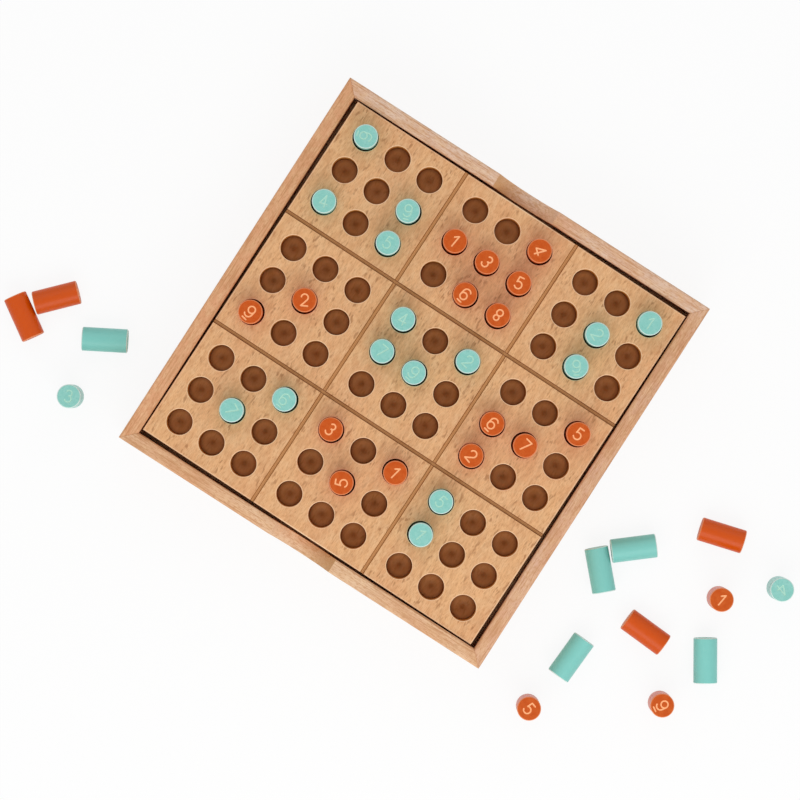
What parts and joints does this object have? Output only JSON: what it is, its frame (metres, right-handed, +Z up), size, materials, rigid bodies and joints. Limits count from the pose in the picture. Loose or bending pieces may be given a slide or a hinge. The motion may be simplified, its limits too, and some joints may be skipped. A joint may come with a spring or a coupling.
{
  "type": "sudoku board",
  "caption": "Square beech tray with mitred sides and finger notches, holding a lift-out board of drilled sockets for orange and turquoise digit pegs, with loose pegs beside it.",
  "frame": {"origin": "middle of the tray's underside, on the table", "axes": "+Z up out of the sockets, +Y towards the back side, +X towards the right side"},
  "size_m": [0.4134, 0.2224, 0.048],
  "materials": {
    "beech_tray": "satin varnished beech",
    "beech_board": "satin varnished beech",
    "base_ply": "sanded plywood",
    "peg_orange": "satin orange paint",
    "peg_turquoise": "satin turquoise paint"
  },
  "bodies": {
    "tray": {"tray_side_front": "beech_tray", "tray_side_back": "beech_tray", "tray_side_left": "beech_tray", "tray_side_right": "beech_tray", "base_panel": "base_ply", "rail_front": "beech_tray", "rail_back": "beech_tray", "rail_left": "beech_tray", "rail_right": "beech_tray"},
    "board": {"play_board": "beech_board", "board_backing": "beech_board"},
    "peg_r1c1": {"peg_r1c1": "peg_turquoise"},
    "peg_r3c1": {"peg_r3c1": "peg_turquoise"},
    "peg_r2c3": {"peg_r2c3": "peg_turquoise"},
    "peg_r3c3": {"peg_r3c3": "peg_turquoise"},
    "peg_r1c9": {"peg_r1c9": "peg_turquoise"},
    "peg_r2c8": {"peg_r2c8": "peg_turquoise"},
    "peg_r3c8": {"peg_r3c8": "peg_turquoise"},
    "peg_r4c4": {"peg_r4c4": "peg_turquoise"},
    "peg_r5c4": {"peg_r5c4": "peg_turquoise"},
    "peg_r5c5": {"peg_r5c5": "peg_turquoise"},
    "peg_r4c6": {"peg_r4c6": "peg_turquoise"},
    "peg_r8c2": {"peg_r8c2": "peg_turquoise"},
    "peg_r7c3": {"peg_r7c3": "peg_turquoise"},
    "peg_r7c7": {"peg_r7c7": "peg_turquoise"},
    "peg_r8c7": {"peg_r8c7": "peg_turquoise"},
    "peg_r1c6": {"peg_r1c6": "peg_orange"},
    "peg_r2c4": {"peg_r2c4": "peg_orange"},
    "peg_r2c5": {"peg_r2c5": "peg_orange"},
    "peg_r2c6": {"peg_r2c6": "peg_orange"},
    "peg_r3c5": {"peg_r3c5": "peg_orange"},
    "peg_r3c6": {"peg_r3c6": "peg_orange"},
    "peg_r6c1": {"peg_r6c1": "peg_orange"},
    "peg_r5c2": {"peg_r5c2": "peg_orange"},
    "peg_r4c9": {"peg_r4c9": "peg_orange"},
    "peg_r5c7": {"peg_r5c7": "peg_orange"},
    "peg_r5c8": {"peg_r5c8": "peg_orange"},
    "peg_r6c7": {"peg_r6c7": "peg_orange"},
    "peg_r7c4": {"peg_r7c4": "peg_orange"},
    "peg_r7c6": {"peg_r7c6": "peg_orange"},
    "peg_r8c5": {"peg_r8c5": "peg_orange"},
    "loose_peg_1": {"loose_peg_1": "peg_orange"},
    "loose_peg_2": {"loose_peg_2": "peg_orange"},
    "loose_peg_3": {"loose_peg_3": "peg_turquoise"},
    "loose_peg_4": {"loose_peg_4": "peg_turquoise"},
    "loose_peg_5": {"loose_peg_5": "peg_turquoise"},
    "loose_peg_6": {"loose_peg_6": "peg_turquoise"},
    "loose_peg_7": {"loose_peg_7": "peg_orange"},
    "loose_peg_8": {"loose_peg_8": "peg_orange"},
    "loose_peg_9": {"loose_peg_9": "peg_turquoise"},
    "loose_peg_10": {"loose_peg_10": "peg_orange"},
    "loose_peg_11": {"loose_peg_11": "peg_turquoise"},
    "loose_peg_12": {"loose_peg_12": "peg_turquoise"},
    "loose_peg_13": {"loose_peg_13": "peg_orange"},
    "loose_peg_14": {"loose_peg_14": "peg_orange"}
  },
  "joints": [
    {"name": "board_lift", "type": "slide", "parent": "tray", "child": "board", "axis": [0, 0, 1], "range_m": [0, 0.06]},
    {"name": "peg_r1c1_pull", "type": "slide", "parent": "board", "child": "peg_r1c1", "axis": [0, 0, 1], "range_m": [0, 0.03]},
    {"name": "peg_r3c1_pull", "type": "slide", "parent": "board", "child": "peg_r3c1", "axis": [0, 0, 1], "range_m": [0, 0.03]},
    {"name": "peg_r2c3_pull", "type": "slide", "parent": "board", "child": "peg_r2c3", "axis": [0, 0, 1], "range_m": [0, 0.03]},
    {"name": "peg_r3c3_pull", "type": "slide", "parent": "board", "child": "peg_r3c3", "axis": [0, 0, 1], "range_m": [0, 0.03]},
    {"name": "peg_r1c9_pull", "type": "slide", "parent": "board", "child": "peg_r1c9", "axis": [0, 0, 1], "range_m": [0, 0.03]},
    {"name": "peg_r2c8_pull", "type": "slide", "parent": "board", "child": "peg_r2c8", "axis": [0, 0, 1], "range_m": [0, 0.03]},
    {"name": "peg_r3c8_pull", "type": "slide", "parent": "board", "child": "peg_r3c8", "axis": [0, 0, 1], "range_m": [0, 0.03]},
    {"name": "peg_r4c4_pull", "type": "slide", "parent": "board", "child": "peg_r4c4", "axis": [0, 0, 1], "range_m": [0, 0.03]},
    {"name": "peg_r5c4_pull", "type": "slide", "parent": "board", "child": "peg_r5c4", "axis": [0, 0, 1], "range_m": [0, 0.03]},
    {"name": "peg_r5c5_pull", "type": "slide", "parent": "board", "child": "peg_r5c5", "axis": [0, 0, 1], "range_m": [0, 0.03]},
    {"name": "peg_r4c6_pull", "type": "slide", "parent": "board", "child": "peg_r4c6", "axis": [0, 0, 1], "range_m": [0, 0.03]},
    {"name": "peg_r8c2_pull", "type": "slide", "parent": "board", "child": "peg_r8c2", "axis": [0, 0, 1], "range_m": [0, 0.03]},
    {"name": "peg_r7c3_pull", "type": "slide", "parent": "board", "child": "peg_r7c3", "axis": [0, 0, 1], "range_m": [0, 0.03]},
    {"name": "peg_r7c7_pull", "type": "slide", "parent": "board", "child": "peg_r7c7", "axis": [0, 0, 1], "range_m": [0, 0.03]},
    {"name": "peg_r8c7_pull", "type": "slide", "parent": "board", "child": "peg_r8c7", "axis": [0, 0, 1], "range_m": [0, 0.03]},
    {"name": "peg_r1c6_pull", "type": "slide", "parent": "board", "child": "peg_r1c6", "axis": [0, 0, 1], "range_m": [0, 0.03]},
    {"name": "peg_r2c4_pull", "type": "slide", "parent": "board", "child": "peg_r2c4", "axis": [0, 0, 1], "range_m": [0, 0.03]},
    {"name": "peg_r2c5_pull", "type": "slide", "parent": "board", "child": "peg_r2c5", "axis": [0, 0, 1], "range_m": [0, 0.03]},
    {"name": "peg_r2c6_pull", "type": "slide", "parent": "board", "child": "peg_r2c6", "axis": [0, 0, 1], "range_m": [0, 0.03]},
    {"name": "peg_r3c5_pull", "type": "slide", "parent": "board", "child": "peg_r3c5", "axis": [0, 0, 1], "range_m": [0, 0.03]},
    {"name": "peg_r3c6_pull", "type": "slide", "parent": "board", "child": "peg_r3c6", "axis": [0, 0, 1], "range_m": [0, 0.03]},
    {"name": "peg_r6c1_pull", "type": "slide", "parent": "board", "child": "peg_r6c1", "axis": [0, 0, 1], "range_m": [0, 0.03]},
    {"name": "peg_r5c2_pull", "type": "slide", "parent": "board", "child": "peg_r5c2", "axis": [0, 0, 1], "range_m": [0, 0.03]},
    {"name": "peg_r4c9_pull", "type": "slide", "parent": "board", "child": "peg_r4c9", "axis": [0, 0, 1], "range_m": [0, 0.03]},
    {"name": "peg_r5c7_pull", "type": "slide", "parent": "board", "child": "peg_r5c7", "axis": [0, 0, 1], "range_m": [0, 0.03]},
    {"name": "peg_r5c8_pull", "type": "slide", "parent": "board", "child": "peg_r5c8", "axis": [0, 0, 1], "range_m": [0, 0.03]},
    {"name": "peg_r6c7_pull", "type": "slide", "parent": "board", "child": "peg_r6c7", "axis": [0, 0, 1], "range_m": [0, 0.03]},
    {"name": "peg_r7c4_pull", "type": "slide", "parent": "board", "child": "peg_r7c4", "axis": [0, 0, 1], "range_m": [0, 0.03]},
    {"name": "peg_r7c6_pull", "type": "slide", "parent": "board", "child": "peg_r7c6", "axis": [0, 0, 1], "range_m": [0, 0.03]},
    {"name": "peg_r8c5_pull", "type": "slide", "parent": "board", "child": "peg_r8c5", "axis": [0, 0, 1], "range_m": [0, 0.03]},
    {"name": "loose_peg_1_lift", "type": "slide", "parent": "tray", "child": "loose_peg_1", "axis": [0, 0, 1], "range_m": [0, 0.06]},
    {"name": "loose_peg_2_lift", "type": "slide", "parent": "tray", "child": "loose_peg_2", "axis": [0, 0, 1], "range_m": [0, 0.06]},
    {"name": "loose_peg_3_lift", "type": "slide", "parent": "tray", "child": "loose_peg_3", "axis": [0, 0, 1], "range_m": [0, 0.06]},
    {"name": "loose_peg_4_lift", "type": "slide", "parent": "tray", "child": "loose_peg_4", "axis": [0, 0, 1], "range_m": [0, 0.06]},
    {"name": "loose_peg_5_lift", "type": "slide", "parent": "tray", "child": "loose_peg_5", "axis": [0, 0, 1], "range_m": [0, 0.06]},
    {"name": "loose_peg_6_lift", "type": "slide", "parent": "tray", "child": "loose_peg_6", "axis": [0, 0, 1], "range_m": [0, 0.06]},
    {"name": "loose_peg_7_lift", "type": "slide", "parent": "tray", "child": "loose_peg_7", "axis": [0, 0, 1], "range_m": [0, 0.06]},
    {"name": "loose_peg_8_lift", "type": "slide", "parent": "tray", "child": "loose_peg_8", "axis": [0, 0, 1], "range_m": [0, 0.06]},
    {"name": "loose_peg_9_lift", "type": "slide", "parent": "tray", "child": "loose_peg_9", "axis": [0, 0, 1], "range_m": [0, 0.06]},
    {"name": "loose_peg_10_lift", "type": "slide", "parent": "tray", "child": "loose_peg_10", "axis": [0, 0, 1], "range_m": [0, 0.06]},
    {"name": "loose_peg_11_lift", "type": "slide", "parent": "tray", "child": "loose_peg_11", "axis": [0, 0, 1], "range_m": [0, 0.06]},
    {"name": "loose_peg_12_lift", "type": "slide", "parent": "tray", "child": "loose_peg_12", "axis": [0, 0, 1], "range_m": [0, 0.06]},
    {"name": "loose_peg_13_lift", "type": "slide", "parent": "tray", "child": "loose_peg_13", "axis": [0, 0, 1], "range_m": [0, 0.06]},
    {"name": "loose_peg_14_lift", "type": "slide", "parent": "tray", "child": "loose_peg_14", "axis": [0, 0, 1], "range_m": [0, 0.06]}
  ]
}
